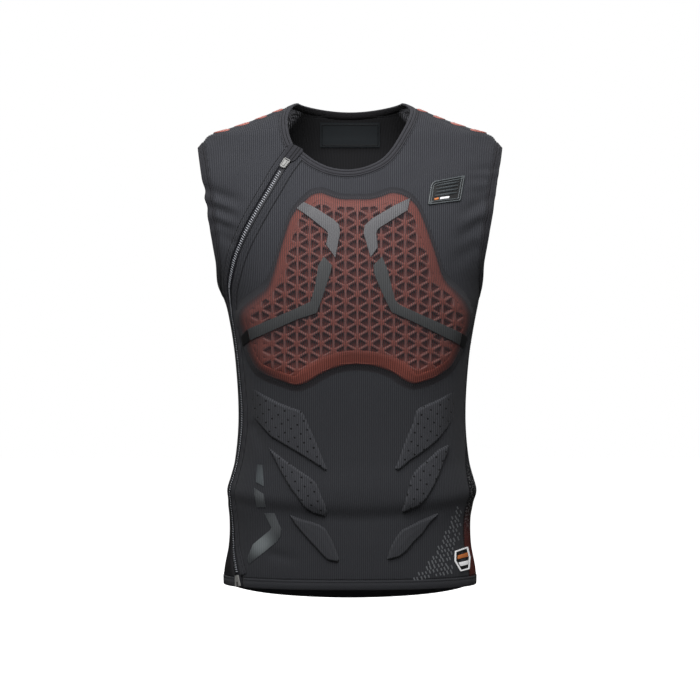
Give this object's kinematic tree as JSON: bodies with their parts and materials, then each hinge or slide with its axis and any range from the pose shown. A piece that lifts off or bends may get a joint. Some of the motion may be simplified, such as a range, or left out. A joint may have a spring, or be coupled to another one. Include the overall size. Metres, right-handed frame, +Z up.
{
  "type": "protective vest",
  "caption": "Sleeveless stretch-knit protective vest in its worn form, with a lattice chest pad under sheer knit, raised abdomen pads, shoulder pads and a diagonal side zip.",
  "frame": {"origin": "midway between the two shoulder seams beside the collar, at the level where the vest sits on the wearer's shoulders", "axes": "+Z up along the wearer's body, -Y out of the front, +X towards the wearer's left"},
  "size_m": [0.4114, 0.2338, 0.6718],
  "materials": {
    "knit": "matt dark grey ribbed stretch knit",
    "sheer_knit": "sheer dark grey ribbed knit, the pad shows through",
    "side_mesh": "matt black open mesh",
    "binding": "matt black woven binding",
    "zip_teeth": "black nylon coil",
    "zip_hardware": "grey satin",
    "pad_foam": "red-orange moulded foam rubber",
    "padding": "ribbed grey knit moulded over foam",
    "silver_film": "satin silver-grey transfer film",
    "dark_film": "satin dark grey transfer film",
    "badge_rubber": "black moulded rubber",
    "label_film": "smooth dark transfer label, bare"
  },
  "bodies": {
    "root": {"front_panel": "knit", "right_shoulder_panel": "knit", "back_panel": "knit", "left_side_panel": "side_mesh", "right_side_panel": "side_mesh", "collar_band": "binding", "left_armhole_binding": "binding", "right_armhole_binding": "binding", "hem_band": "binding", "zip_tape": "binding", "zip_coil": "zip_teeth", "zip_garage": "binding", "zip_slider": "zip_hardware", "zip_bottom_stop": "zip_hardware", "chest_protector": "pad_foam", "chest_cover": "sheer_knit", "left_abdomen_pad_upper": "padding", "right_abdomen_pad_upper": "padding", "left_abdomen_pad_middle": "padding", "right_abdomen_pad_middle": "padding", "left_abdomen_pad_lower": "padding", "right_abdomen_pad_lower": "padding", "left_shoulder_pad": "pad_foam", "right_shoulder_pad": "pad_foam", "left_chest_stripe_upper": "silver_film", "right_chest_stripe_upper": "silver_film", "left_chest_stripe_lower": "dark_film", "right_chest_stripe_lower": "dark_film", "left_chest_stripe_end": "badge_rubber", "right_chest_stripe_end": "badge_rubber", "hip_stripe_1": "dark_film", "hip_stripe_2": "dark_film", "hip_stripe_3": "dark_film", "chest_badge": "badge_rubber", "hem_badge": "badge_rubber", "neck_label": "label_film"}
  },
  "joints": []
}
